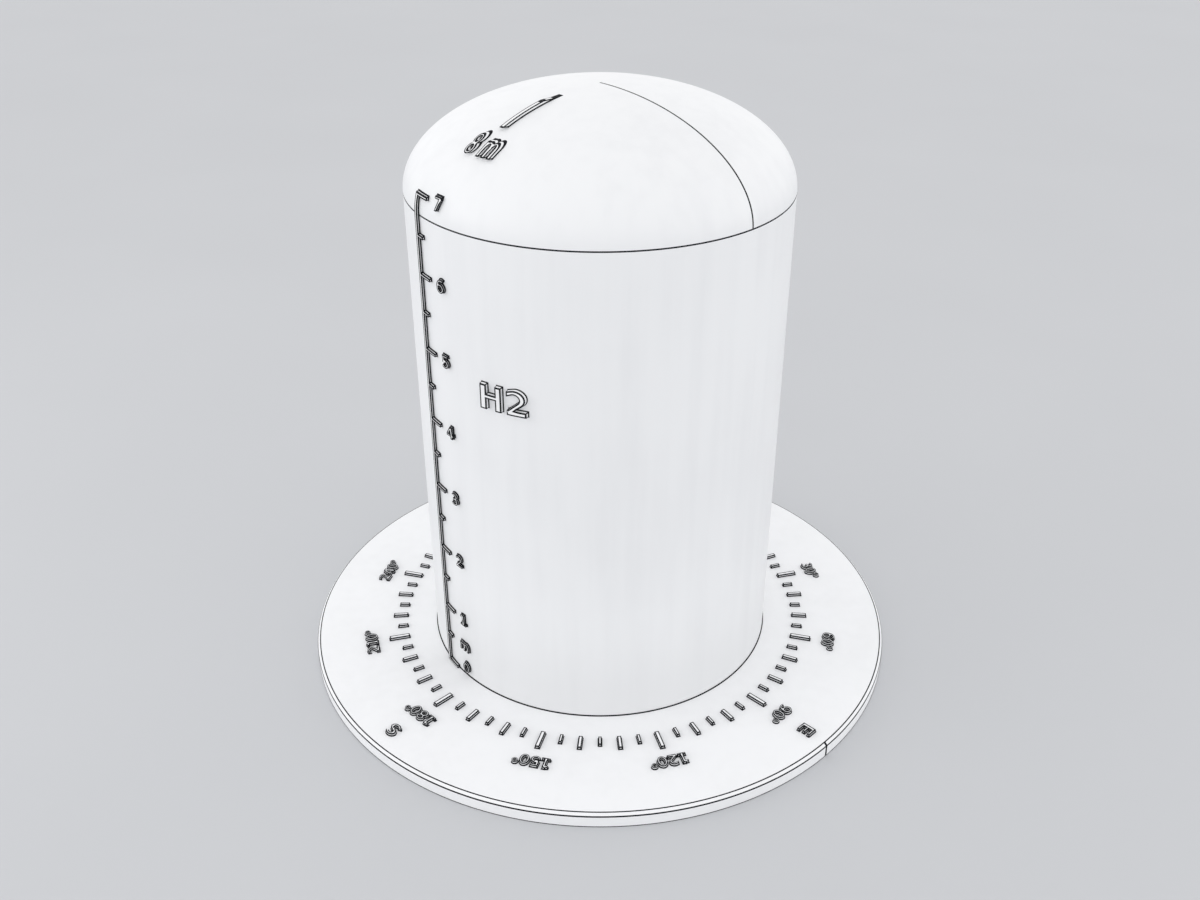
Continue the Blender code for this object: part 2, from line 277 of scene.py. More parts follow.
@dataclass(frozen=True)
class CoatedConcrete:
    """Concrete under white masonry paint: trowel marks, fine sand and a few pinholes."""

    name: str
    light: Colour = (0.915, 0.922, 0.936, 1.0)
    shade: Colour = (0.875, 0.882, 0.894, 1.0)
    roughness: float = 0.72

    def make(self) -> bpy.types.Material:
        """Builds the material."""
        graph = Graph(self.name)
        broad = graph.noise(0.8, 4.0)
        trowel = graph.noise(6.0, 5.0)
        sand = graph.noise(160.0, 3.0)
        pinhole = 1.0 - graph.window(graph.pits(28.0), 0.03, 0.09)
        tone = 0.5 * broad + 0.3 * trowel + 0.2 * sand - 0.25 * pinhole
        colour = graph.blend(graph.window(tone, 0.28, 0.60), self.shade, self.light)
        roughness = self.roughness + 0.12 * (trowel - 0.5)
        relief = 0.5 * sand + 0.4 * trowel - 0.5 * pinhole
        return graph.finish(colour, roughness, relief, 0.0005)


@dataclass(frozen=True)
class MarkEnamel:
    """Hard white enamel on the raised marks, a little glossier than the paint round them."""

    name: str
    light: Colour = (0.905, 0.912, 0.922, 1.0)
    shade: Colour = (0.850, 0.857, 0.868, 1.0)
    roughness: float = 0.36

    def make(self) -> bpy.types.Material:
        """Builds the material."""
        graph = Graph(self.name)
        cloud = graph.noise(3.0, 3.0)
        peel = graph.noise(120.0, 1.0)
        colour = graph.blend(graph.window(cloud, 0.25, 0.55), self.shade, self.light)
        return graph.finish(colour, self.roughness + 0.08 * (cloud - 0.5), peel, 0.0003)


@dataclass(frozen=True)
class LinePaint:
    """Charcoal paint of the thin lines, brushed on, a little greyer where it is thin."""

    name: str
    light: Colour = (0.020, 0.021, 0.025, 1.0)
    shade: Colour = (0.006, 0.007, 0.009, 1.0)
    roughness: float = 0.80
    gloss: float = 0.12

    def make(self) -> bpy.types.Material:
        """Builds the material."""
        graph = Graph(self.name)
        brush = graph.noise(40.0, 4.0)
        colour = graph.blend(graph.window(brush, 0.35, 0.70), self.shade, self.light)
        graph.feed(graph.shader, {"Specular IOR Level": self.gloss})
        return graph.finish(colour, self.roughness + 0.15 * (brush - 0.5), brush, 0.0002)


@dataclass(frozen=True)
class PrimedPlate:
    """Grey primer on the floor plate inside the closed tank."""

    name: str
    light: Colour = (0.42, 0.43, 0.44, 1.0)
    shade: Colour = (0.30, 0.31, 0.32, 1.0)
    roughness: float = 0.62

    def make(self) -> bpy.types.Material:
        """Builds the material."""
        graph = Graph(self.name)
        cloud = graph.noise(1.5, 5.0)
        grain = graph.noise(90.0, 2.0)
        colour = graph.blend(graph.window(cloud, 0.3, 0.7), self.shade, self.light)
        return graph.finish(colour, self.roughness + 0.1 * (grain - 0.5), grain, 0.0004)


@dataclass(frozen=True)
class FloorCoat:
    """The studio floor's pale matt coat."""

    name: str
    light: Colour = (0.60, 0.61, 0.63, 1.0)
    shade: Colour = (0.57, 0.58, 0.60, 1.0)
    roughness: float = 0.9

    def make(self) -> bpy.types.Material:
        """Builds the material."""
        graph = Graph(self.name)
        cloud = graph.noise(0.15, 2.0)
        colour = graph.blend(cloud, self.shade, self.light)
        return graph.finish(colour, self.roughness + 0.05 * (cloud - 0.5), graph.noise(30.0), 0.0003)


@dataclass(frozen=True)
class Finishes:
    """The materials that the pieces share."""

    tank: bpy.types.Material
    plinth: bpy.types.Material
    mark: bpy.types.Material
    line: bpy.types.Material
    plate: bpy.types.Material

    @classmethod
    def make(cls) -> Finishes:
        """Builds each material once."""
        return cls(
            tank=SatinPaint("satin_white_paint").make(),
            plinth=CoatedConcrete("coated_concrete").make(),
            mark=MarkEnamel("mark_enamel").make(),
            line=LinePaint("charcoal_line_paint").make(),
            plate=PrimedPlate("primed_plate").make(),
        )


# Main sizes and turned bodies


@dataclass(frozen=True)
class Sizes:
    """The main dimensions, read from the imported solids."""

    plinth_radius: float
    plinth_top: float
    tank_radius: float
    joint: float
    dome_rise: float
    gap: float = 0.0003

    @classmethod
    def from_frame(cls) -> Sizes:
        """Reads the boxes of the plinth, the shell and the dome."""
        shell_low, shell_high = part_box("tank_shell")
        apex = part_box("tank_dome")[1].z
        return cls(
            plinth_radius=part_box("base_plinth")[1].x,
            plinth_top=shell_low.z - cls.gap,
            tank_radius=shell_high.x,
            joint=shell_high.z,
            dome_rise=apex - shell_high.z,
        )


class Sketch:
    """The points and faces of one piece while it is drawn."""

    def __init__(self) -> None:
        """Starts empty."""
        self.points: list[Vector] = []
        self.faces: list[list[int]] = []
        self.layers: list[Layer] = []

    def ring(self, places: Iterable[Vector]) -> list[int]:
        """Adds points and returns their numbers."""
        start = len(self.points)
        self.points += places
        return list(range(start, len(self.points)))

    def face(self, corners: Sequence[int], layer: Layer) -> None:
        """Adds a face, leaving out a corner that repeats."""
        kept = [corner for place, corner in enumerate(corners) if corner not in corners[:place]]
        if len(kept) > 2:
            self.faces.append(kept)
            self.layers.append(layer)

    def band(self, first: Sequence[int], second: Sequence[int], layers: Sequence[Layer]) -> None:
        """Joins two closed rings of as many points by quads.

        Args:
            first: The numbers of one ring.
            second: The numbers of the other ring.
            layers: The layer of each quad.
        """
        for step, layer in enumerate(layers):
            turned_on = (step + 1) % len(first)
            self.face([first[step], first[turned_on], second[turned_on], second[step]], layer)

    def make(self, name: str, smooth_degrees: float | None = None) -> bpy.types.Object:
        """Builds the object.

        Args:
            name: The piece's name.
            smooth_degrees: Faces that meet at less than this are shaded smooth. None shades all flat.

        Returns:
            The object, linked to the scene, its faces turned outwards.
        """
        mesh = bpy.data.meshes.new(name)
        mesh.from_pydata([tuple(p) for p in self.points], [], self.faces)
        mesh.polygons.foreach_set("material_index", [int(layer) for layer in self.layers])
        work = bmesh.new()
        work.from_mesh(mesh)
        loose = [vert for vert in work.verts if not vert.link_faces]
        bmesh.ops.delete(work, geom=loose, context="VERTS")
        bmesh.ops.recalc_face_normals(work, faces=work.faces)
        work.to_mesh(mesh)
        work.free()
        if smooth_degrees is not None:
            mesh.shade_smooth()
            mesh.set_sharp_from_angle(angle=math.radians(smooth_degrees))
        made = bpy.data.objects.new(name, mesh)
        bpy.context.scene.collection.objects.link(made)
        return made


def dress(
    made: bpy.types.Object,
    body: bpy.types.Material,
    line: bpy.types.Material,
    nodes: Sequence[str] = (),
) -> None:
    """Gives a piece its two finishes and its place in the frame, and reports it.

    Args:
        made: The piece.
        body: The finish of its faces.
        line: The finish of its edge lines.
        nodes: The nodes that it stands for.
    """
    made.data.materials.append(body)
    made.data.materials.append(line)
    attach(made, BODY_NAME)
    if nodes:
        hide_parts(*nodes)
    LOG.info("%s: %d faces", made.name, len(made.data.polygons))


@dataclass(frozen=True)
class Station:
    """A corner of a turned section, with the layer of the band from it to the next corner."""

    radius: float
    height: float
    layer: Layer = Layer.BODY


def turned(name: str, section: Sequence[Station], segments: int) -> bpy.types.Object:
    """Turns a closed section round the upright axis.

    Args:
        name: The piece's name.
        section: The corners in order round the section.
        segments: How many flats the turned body has.

    Returns:
        The piece.
    """
    sketch = Sketch()
    rings = []
    for station in section:
        if station.radius < 1e-6:
            rings.append(sketch.ring([Vector((0.0, 0.0, station.height))]) * segments)
            continue
        turns = [2.0 * math.pi * step / segments for step in range(segments)]
        places = [(station.radius * math.sin(t), station.radius * math.cos(t), station.height) for t in turns]
        rings.append(sketch.ring(Vector(place) for place in places))
    for index, station in enumerate(section):
        sketch.band(rings[index], rings[(index + 1) % len(rings)], [station.layer] * segments)
    return sketch.make(name, smooth_degrees=30.0)


def heading(angle: float) -> Vector:
    """The level direction at an angle of the scale, in degrees."""
    turn = math.radians(angle)
    return Vector((math.sin(turn), math.cos(turn), 0.0))


@dataclass(frozen=True)
class Seam:
    """A thin raised line of sealant along a joint that runs down a face at one angle."""

    width: float
    angle: float = 90.0
    proud: float = 0.0004
    sunk: float = 0.0006

    def draw(self, name: str, path: Sequence[Point], normals: Sequence[Point]) -> bpy.types.Object:
        """Draws the seam as a closed strip.

        Args:
            name: The piece's name.
            path: (radius, height) of the points that it follows.
            normals: The face's (outward, upward) direction at each of them.

        Returns:
            The piece.
        """
        out = heading(self.angle)
        side = Vector((out.y, -out.x, 0.0)) * (0.5 * self.width)
        sketch = Sketch()
        rings = []
        for (radius, height), (outward, upward) in zip(path, normals):
            centre = out * radius + Vector((0.0, 0.0, height))
            normal = out * outward + Vector((0.0, 0.0, upward))
            corners = []
            for way, lift in ((-1, -self.sunk), (1, -self.sunk), (1, self.proud), (-1, self.proud)):
                corners.append(centre + side * way + normal * lift)
            rings.append(sketch.ring(corners))
        for first, second in zip(rings, rings[1:]):
            sketch.band(first, second, [Layer.LINE] * 4)
        sketch.face(rings[0], Layer.LINE)
        sketch.face(rings[-1], Layer.LINE)
        return sketch.make(name)


@dataclass(frozen=True)
class Plinth:
    """The round plinth with its chamfered rim."""

    sizes: Sizes
    chamfer: float = 0.04
    rim_inset: float = 0.0006
    top_line: float = 0.010
    chamfer_line: float = 0.008
    side_line: float = 0.016
    foot_line: float = 0.012
    tank_line: float = 0.014
    segments: int = 288

    def build(self, finishes: Finishes) -> None:
        """Builds the disc with its lines, and the seam across its rim."""
        top = self.sizes.plinth_top
        rim = self.sizes.plinth_radius - self.rim_inset
        edge = rim - self.chamfer
        slant = self.chamfer_line / math.sqrt(2.0)
        foot = self.sizes.tank_radius - 0.03
        section = [
            Station(0.0, top),
            Station(foot, top, Layer.LINE),
            Station(self.sizes.tank_radius + self.tank_line, top),
            Station(0.5 * (self.sizes.tank_radius + edge), top),
            Station(edge - self.top_line, top, Layer.LINE),
            Station(edge, top, Layer.LINE),
            Station(edge + slant, top - slant),
            Station(rim - slant, top - self.chamfer + slant, Layer.LINE),
            Station(rim, top - self.chamfer, Layer.LINE),
            Station(rim, top - self.chamfer - self.side_line),
            Station(rim, self.foot_line, Layer.LINE),
            Station(rim, 0.0),
            Station(0.0, 0.0),
        ]
        disc = turned("plinth_disc", section, self.segments)
        dress(disc, finishes.plinth, finishes.line, ["base_plinth"])
        slope = math.sqrt(0.5)
        tilt = math.radians(22.5)
        path = [(edge, top), (rim, top - self.chamfer), (rim, 0.0)]
        normals = [(slope, slope), (math.cos(tilt), math.sin(tilt)), (1.0, 0.0)]
        seam = Seam(width=0.034).draw("plinth_seam", path, normals)
        dress(seam, finishes.line, finishes.line)


@dataclass(frozen=True)
class Tank:
    """The upright shell and the dome, with a lined joint between them and a seam down the dome."""

    sizes: Sizes
    wall: float = 0.018
    line: float = 0.010
    foot_line: float = 0.013
    apex_inset: float = 0.0006
    segments: int = 288
    dome_rings: int = 48

    def curve(self, offset: float, rings: int) -> list[Point]:
        """(radius, height) up the dome from its foot to its apex, moved out by the offset."""
        across = self.sizes.tank_radius + offset
        rise = self.sizes.dome_rise - self.apex_inset + offset
        turns = [0.5 * math.pi * step / rings for step in range(rings + 1)]
        curve = [(across * math.cos(t), self.sizes.joint + rise * math.sin(t)) for t in turns]
        curve[-1] = (0.0, curve[-1][1])
        return curve

    def build(self, finishes: Finishes) -> None:
        """Builds the shell, the dome and the seam, and paints the floor plate."""
        radius = self.sizes.tank_radius
        inside = radius - self.wall
        foot = self.sizes.plinth_top + self.sizes.gap
        joint = self.sizes.joint
        section = [
            Station(radius, foot, Layer.LINE),
            Station(radius, foot + self.foot_line),
            Station(radius, joint - self.line, Layer.LINE),
            Station(radius, joint),
            Station(inside, joint),
            Station(inside, foot),
        ]
        shell = turned("shell_plate", section, self.segments)
        dress(shell, finishes.tank, finishes.line, ["tank_shell"])

        outer = self.curve(0.0, self.dome_rings)
        section = [Station(radius, joint + self.sizes.gap, Layer.LINE), Station(radius, joint + self.line)]
        section += [Station(*point) for point in outer[1:]]
        section += [Station(*point) for point in self.curve(-self.wall, 12)[:0:-1]]
        section.append(Station(inside, joint + self.sizes.gap))
        dome = turned("dome_plate", section, self.segments)
        dress(dome, finishes.tank, finishes.line, ["tank_dome"])

        normals = []
        for across, height in outer:
            rise = self.sizes.dome_rise
            normal = Vector((across / radius**2, (height - joint) / rise**2)).normalized()
            normals.append((normal.x, normal.y))
        seam = Seam(width=0.023).draw("dome_seam", outer, normals)
        dress(seam, finishes.line, finishes.line)

        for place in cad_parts["tank_floor"].material_slots:
            place.material = finishes.plate


# Lettering, in units of the cap height


@dataclass(frozen=True)
class Bar:
    """An upright rectangle."""

    left: float
    low: float
    right: float
    high: float

    def polygons(self) -> list[Polygon]:
        """Its one polygon."""
        return [[(self.left, self.low), (self.right, self.low), (self.right, self.high), (self.left, self.high)]]


@dataclass(frozen=True)
class Slab:
    """A straight-sided shape, its corners listed against the clock."""

    corners: tuple[Point, ...]

    def polygons(self) -> list[Polygon]:
        """Its one polygon."""
        return [list(self.corners)]


@dataclass(frozen=True)
class Bow:
    """A curved stroke: part of an oval band, its outer half widths and its start and end in degrees."""

    centre: Point
    half: Point
    start: float = 0.0
    end: float = 360.0
    weight: float = 0.215
    steps: int = 9
    thinning: float = 0.75
    inner_shift: Point = (0.0, 0.0)

    def across(self, angle: float) -> tuple[Point, Point]:
        """The outer and inner points of the band at an angle in degrees."""
        turn = math.radians(angle)
        x, y = math.cos(turn), math.sin(turn)
        inner = (self.half[0] - self.weight, self.half[1] - self.thinning * self.weight)
        middle = (self.centre[0] + self.inner_shift[0], self.centre[1] + self.inner_shift[1])
        outer_point = (self.centre[0] + self.half[0] * x, self.centre[1] + self.half[1] * y)
        return outer_point, (middle[0] + inner[0] * x, middle[1] + inner[1] * y)

    def polygons(self) -> list[Polygon]:
        """Quads along the band."""
        count = max(2, round(self.steps * abs(self.end - self.start) / 90.0))
        turns = [self.start + (self.end - self.start) * step / count for step in range(count + 1)]
        rim = [self.across(turn) for turn in turns]
        return [[before[0], after[0], after[1], before[1]] for before, after in zip(rim, rim[1:])]


@dataclass(frozen=True)
class Glyph:
    """One character: how far the pen moves on after it, and its strokes."""

    advance: float
    strokes: tuple[Bar | Slab | Bow, ...]

    def polygons(self) -> list[Polygon]:
        """Its strokes' polygons, which may overlap."""
        return [polygon for stroke in self.strokes for polygon in stroke.polygons()]


TWO = Bow((0.37, 0.69), (0.367, 0.335), -46.0, 112.0, 0.182, 9, 0.852, (-0.025, -0.015))
SIX = (Bow((0.43, 0.33), (0.38, 0.345)), Bow((0.51, 0.50), (0.47, 0.515), 62.0, 200.0))
NINE = (Bow((0.41, 0.67), (0.38, 0.345)), Bow((0.33, 0.50), (0.47, 0.515), 242.0, 380.0))
GLYPHS = {
    "0": Glyph(0.84, (Bow((0.42, 0.5), (0.39, 0.515)),)),
    "1": Glyph(
        0.84,
        (
            Bar(0.13, 0.0, 0.80, 0.15),
            Bar(0.34, 0.0, 0.58, 1.0),
            Slab(((0.12, 0.78), (0.43, 0.84), (0.43, 1.0), (0.12, 0.94))),
        ),
    ),
    "2": Glyph(
        0.84,
        (
            Bar(0.07, 0.0, 0.77, 0.20),
            Slab(((0.07, 0.165), (0.07, 0.10), (0.3367, 0.20), *TWO.across(TWO.start))),
            Slab(((0.06, 0.945), (0.06, 0.745), *TWO.across(TWO.end)[::-1])),
            TWO,
        ),
    ),
    "3": Glyph(
        0.84,
        (
            Bow((0.39, 0.29), (0.40, 0.305), -148.0, 85.0),
            Bow((0.39, 0.745), (0.36, 0.27), -80.0, 146.0),
            Bar(0.24, 0.45, 0.42, 0.61),
        ),
    ),
    "4": Glyph(
        0.84,
        (
            Bar(0.46, 0.0, 0.69, 1.0),
            Bar(0.03, 0.21, 0.83, 0.38),
            Slab(((0.03, 0.30), (0.22, 0.36), (0.50, 0.80), (0.50, 1.0), (0.40, 1.0), (0.03, 0.40))),
        ),
    ),
    "5": Glyph(
        0.84,
        (
            Bar(0.09, 0.83, 0.71, 1.0),
            Bar(0.09, 0.45, 0.28, 0.95),
            Slab(((0.09, 0.45), (0.28, 0.47), (0.40, 0.47), (0.40, 0.64), (0.20, 0.62), (0.09, 0.58))),
            Bow((0.39, 0.32), (0.39, 0.335), -150.0, 95.0),
        ),
    ),
    "6": Glyph(0.84, SIX),
    "7": Glyph(
        0.84,
        (
            Bar(0.04, 0.83, 0.79, 1.0),
            Slab(((0.16, 0.0), (0.42, 0.0), (0.79, 0.86), (0.79, 0.95), (0.53, 0.86))),
        ),
    ),
    "8": Glyph(
        0.84,
        (Bow((0.42, 0.28), (0.39, 0.295)), Bow((0.42, 0.755), (0.35, 0.26), weight=0.194)),
    ),
    "9": Glyph(0.84, NINE),
    "o": Glyph(0.56, (Bow((0.28, 0.77), (0.235, 0.235), weight=0.12, steps=5),)),
    "m": Glyph(
        1.20,
        (
            Bar(0.03, 0.0, 0.245, 0.74),
            Bow((0.355, 0.43), (0.325, 0.33), 0.0, 180.0),
            Bow((0.785, 0.43), (0.325, 0.33), 0.0, 180.0),
            Bar(0.465, 0.0, 0.68, 0.45),
            Bar(0.895, 0.0, 1.11, 0.45),
        ),
    ),
    "H": Glyph(
        1.10,
        (Bar(0.0, 0.0, 0.275, 1.0), Bar(0.665, 0.0, 0.92, 1.0), Bar(0.20, 0.44, 0.70, 0.62)),
    ),
    "N": Glyph(
        1.10,
        (
            Bar(0.0, 0.0, 0.24, 1.0),
            Bar(0.66, 0.0, 0.90, 1.0),
            Slab(((0.0, 1.0), (0.0, 0.86), (0.62, 0.0), (0.90, 0.0), (0.90, 0.14), (0.28, 1.0))),
        ),
    ),
    "E": Glyph(
        0.95,
        (
            Bar(0.0, 0.0, 0.26, 1.0),
            Bar(0.1, 0.0, 0.77, 0.19),
            Bar(0.1, 0.405, 0.73, 0.595),
            Bar(0.1, 0.81, 0.77, 1.0),
        ),
    ),
    "S": Glyph(
        0.95,
        (
            Bow((0.41, 0.285), (0.42, 0.30), -155.0, 90.0, 0.25),
            Bow((0.43, 0.715), (0.41, 0.30), 25.0, 270.0, 0.25),
        ),
    ),
    "W": Glyph(
        1.50,
        (
            Slab(((0.28, 0.0), (0.52, 0.0), (0.27, 1.0), (0.0, 1.0))),
            Slab(((0.31, 0.0), (0.55, 0.0), (0.82, 1.0), (0.60, 1.0))),
            Slab(((0.87, 0.0), (1.11, 0.0), (0.82, 1.0), (0.60, 1.0))),
            Slab(((0.90, 0.0), (1.14, 0.0), (1.42, 1.0), (1.15, 1.0))),
        ),
    ),
}


@dataclass(frozen=True)
class Text:
    """A short text at a cap height."""

    letters: str
    cap: float
    stretch: float = 1.0

    def at(self, left: float, base: float) -> list[Polygon]:
        """Its polygons, its lower left corner at (left, base)."""
        polygons = []
        pen = left
        wide = self.cap * self.stretch
        for letter in self.letters:
            for polygon in GLYPHS[letter].polygons():
                polygons.append([(pen + wide * x, base + self.cap * y) for x, y in polygon])
            pen += wide * GLYPHS[letter].advance
        return polygons

    def centred(self, middle: float, base: float) -> list[Polygon]:
        """Its polygons, centred sideways on the middle, its baseline at the base."""
        across = [x for polygon in self.at(0.0, 0.0) for x, _ in polygon]
        return self.at(middle - 0.5 * (min(across) + max(across)), base)


# Raised marks


class Carrier(Protocol):
    """A face that marks stand on."""

    def place(self, x: float, y: float, lift: float) -> Vector:
        """The point in the room of a point of the drawing, that far above the face."""


@dataclass(frozen=True)
class PlinthTop:
    """The plinth's top face at one angle: x runs along the scale and y outwards."""

    sizes: Sizes
    angle: float

    def place(self, x: float, y: float, lift: float) -> Vector:
        """The point in the room."""
        out = heading(self.angle)
        along = Vector((out.y, -out.x, 0.0))
        return along * x + out * y + Vector((0.0, 0.0, self.sizes.plinth_top + lift))


@dataclass(frozen=True)
class TankFace:
    """The tank's outer face, drawn on from an upright plane: x runs to the right and y up."""

    sizes: Sizes
    facing: float

    def place(self, x: float, y: float, lift: float) -> Vector:
        """The point in the room, straight behind the drawing's point."""
        sizes = self.sizes
        height = sizes.plinth_top + y
        reach = sizes.tank_radius + lift
        share = max(0.0, height - sizes.joint) / (sizes.dome_rise + lift)
        reach *= math.sqrt(max(0.0, 1.0 - share * share))
        depth = math.sqrt(max(0.0, reach * reach - x * x))
        out = heading(self.facing)
        right = Vector((-out.y, out.x, 0.0))
        return right * x + out * depth + Vector((0.0, 0.0, height))


@dataclass(frozen=True)
class Relief:
    """The section of a raised mark's edge, from its face down to the face that carries it."""

    height: float = 0.042
    rim_line: float = 0.017
    bevel: float = 0.001
    wall_line: float = 0.015
    corner_line: float = 0.013
    foot_line: float = 0.018
    flare: float = 0.010
    seat: float = 0.0001

    def stations(self) -> list[tuple[float, float, Layer]]:
        """(inset, lift, layer of the band that follows) from the lined rim to the foot."""
        return [
            (self.rim_line, self.height, Layer.LINE),
            (self.bevel, self.height, Layer.LINE),
            (0.0, self.height - self.bevel, Layer.LINE),
            (0.0, self.height - self.wall_line, Layer.BODY),
            (0.0, self.foot_line, Layer.LINE),
            (-self.flare, self.seat, Layer.LINE),
        ]


FINE = Relief(rim_line=0.013, wall_line=0.009, corner_line=0.011, foot_line=0.015, flare=0.009)
BOLD = Relief(rim_line=0.019, wall_line=0.018, foot_line=0.021, flare=0.011)


def area(loop: Polygon) -> float:
    """The area that a loop bounds, below zero when the loop runs with the clock."""
    return 0.5 * sum(x * after_y - after_x * y for (x, y), (after_x, after_y) in zip(loop, loop[1:] + loop[:1]))


def loops_of(polygons: Iterable[Polygon]) -> list[Polygon]:
    """Finds the closed loops round a flat shape.

    Args:
        polygons: The shape, as polygons that may overlap.

    Returns:
        The loops, each with the shape on its left.
    """
    points: list[Vector] = []
    faces = []
    for polygon in polygons:
        faces.append(list(range(len(points), len(points) + len(polygon))))
        points += [Vector(point) for point in polygon]
    found = delaunay_2d_cdt(points, [], faces, 1, 1e-5)
    edges = {}
    for triangle, sources in zip(found[2], found[5]):
        for place, start in enumerate(triangle):
            if sources:
                edges[start, triangle[(place + 1) % len(triangle)]] = True
    after: dict[int, list[int]] = {}
    for start, end in edges:
        if (end, start) not in edges:
            after.setdefault(start, []).append(end)
    loops = []
    while after:
        path = [next(iter(after))]
        while path[-1] in after:
            ends = after[path[-1]]
            here = ends.pop()
            if not ends:
                del after[path[-1]]
            if here in path:
                cut = path.index(here)
                loops.append([tuple(found[0][index]) for index in path[cut:]])
                path = path[:cut]
            path.append(here)
    return [loop for loop in loops if abs(area(loop)) > SLIVER]


def neighbours(loop: Sequence[Vector]) -> Iterable[tuple[Vector, Vector, Vector]]:
    """Each point of a closed loop between the points before and after it."""
    return zip([loop[-1], *loop[:-1]], loop, [*loop[1:], loop[0]])


def clearance(start: Vector, way: Vector, walls: Iterable[tuple[Vector, Vector]]) -> float:
    """How many times the way fits between a point and the first wall before it.

    Args:
        start: The point.
        way: The direction, with its length.
        walls: Straight walls, by their ends.

    Returns:
        The number of lengths, without limit where no wall is met.
    """
    found = math.inf
    for low, high in walls:
        run = high - low
        lean = way.x * run.y - way.y * run.x
        if abs(lean) < 1e-9:
            continue
        gap = low - start
        reach = (gap.x * run.y - gap.y * run.x) / lean
        if reach > 1e-4 and 0.0 <= (gap.x * way.y - gap.y * way.x) / lean <= 1.0:
            found = min(found, reach)
    return found


class Rim:
    """One loop of a mark's outline, cut into short steps, with its lined corners."""

    SHORTEST = 0.0012
    LONGEST = 0.04
    SHARP = math.radians(30.0)
    STRAIGHT = math.radians(0.5)
    MITRE_LIMIT = 0.35
    THICKNESS_SHARE = 0.40
    EDGE_SHARE = 0.45

    def __init__(self, loop: Polygon, corner_line: float) -> None:
        """Cuts the loop up.

        Args:
            loop: Its points, the shape on its left.
            corner_line: How far the line at a sharp corner reaches along the outline.
        """
        self.points: list[Vector] = []
        self.lined: list[bool] = []
        self.corner: list[int] = []
        self.most: list[float] = []
        self.inward: list[Vector] = []
        self._walk(self._spaced(loop), corner_line)

    def _spaced(self, loop: Polygon) -> list[Vector]:
        """The loop without points that nearly repeat or lie on a straight stretch."""
        kept: list[Vector] = []
        for point in map(Vector, loop):
            if not kept or (point - kept[-1]).length > self.SHORTEST:
                kept.append(point)
        if len(kept) > 3 and (kept[0] - kept[-1]).length <= self.SHORTEST:
            kept.pop()
        turns = [self._turn(before, here, after) for before, here, after in neighbours(kept)]
        return [point for point, turn in zip(kept, turns) if turn > self.STRAIGHT]

    @staticmethod
    def _turn(before: Vector, here: Vector, after: Vector) -> float:
        """How far the outline turns at a point."""
        return abs((here - before).angle_signed(after - here, 0.0))

    def _walk(self, loop: Sequence[Vector], corner_line: float) -> None:
        """Steps along each edge, marking the stretches beside sharp corners."""
        sharp = [self._turn(before, here, after) > self.SHARP for before, here, after in neighbours(loop)]
        for index, (before, start, after) in enumerate(neighbours(loop)):
            following = (index + 1) % len(loop)
            edge = after - start
            length = edge.length
            shift, most = self._mitre(before, start, after)
            near = corner_line if sharp[index] else 0.0
            far = length - corner_line if sharp[following] else length
            here = len(self.points)
            if near >= far:
                self._step(start, sharp[index] or sharp[following], here, shift, most)
                continue
            straight = Vector((-edge.y, edge.x)) / length
            self._step(start, near > 0.0, here, shift, most)
            if near > 0.0:
                self._step(start + edge * (near / length), False, here, straight, math.inf)
            steps = max(1, math.ceil((far - near) / self.LONGEST))
            for step in range(1, steps):
                share = (near + (far - near) * step / steps) / length
                self._step(start + edge * share, False, len(self.points), straight, math.inf)
            if far < length:
                self._step(start + edge * (far / length), True, len(self.points) + 1, straight, math.inf)
        self.corner = [index % len(self.points) for index in self.corner]

    def _step(self, point: Vector, lined: bool, corner: int, shift: Vector, most: float) -> None:
        """Adds a point.

        Args:
            point: Where it lies.
            lined: Whether the stretch after it is part of a corner's line.
            corner: The number of the point whose place it takes on the inner ring.
            shift: The move that takes the edges at it inwards by one.
            most: How far inwards it may go.
        """
        self.points.append(point)
        self.lined.append(lined)
        self.corner.append(corner)
        self.inward.append(shift)
        self.most.append(most)

    def _mitre(self, before: Vector, here: Vector, after: Vector) -> tuple[Vector, float]:
        """The shift that moves both edges at a point inwards by one, and how far it may go."""
        behind = here - before
        ahead = after - here
        first = Vector((-behind.y, behind.x)) / behind.length
        second = Vector((-ahead.y, ahead.x)) / ahead.length
        shift = (first + second) / max(self.MITRE_LIMIT, 1.0 + first.dot(second))
        slide = math.sqrt(max(1e-6, shift.length_squared - 1.0))
        return shift, self.EDGE_SHARE * min(behind.length, ahead.length) / slide

    def thin(self, walls: Sequence[tuple[Vector, Vector]]) -> None:
        """Holds the inner ring back where the shape is thin.

        Args:
            walls: The edges of all the shape's outlines.
        """
        for index, (here, shift) in enumerate(zip(self.points, self.inward)):
            room = clearance(here, shift, walls)
            self.most[index] = min(self.most[index], self.THICKNESS_SHARE * room)

    def moved(self, inset: float) -> list[Vector]:
        """The loop moved inwards."""
        return [p + shift * min(inset, most) for p, shift, most in zip(self.points, self.inward, self.most)]


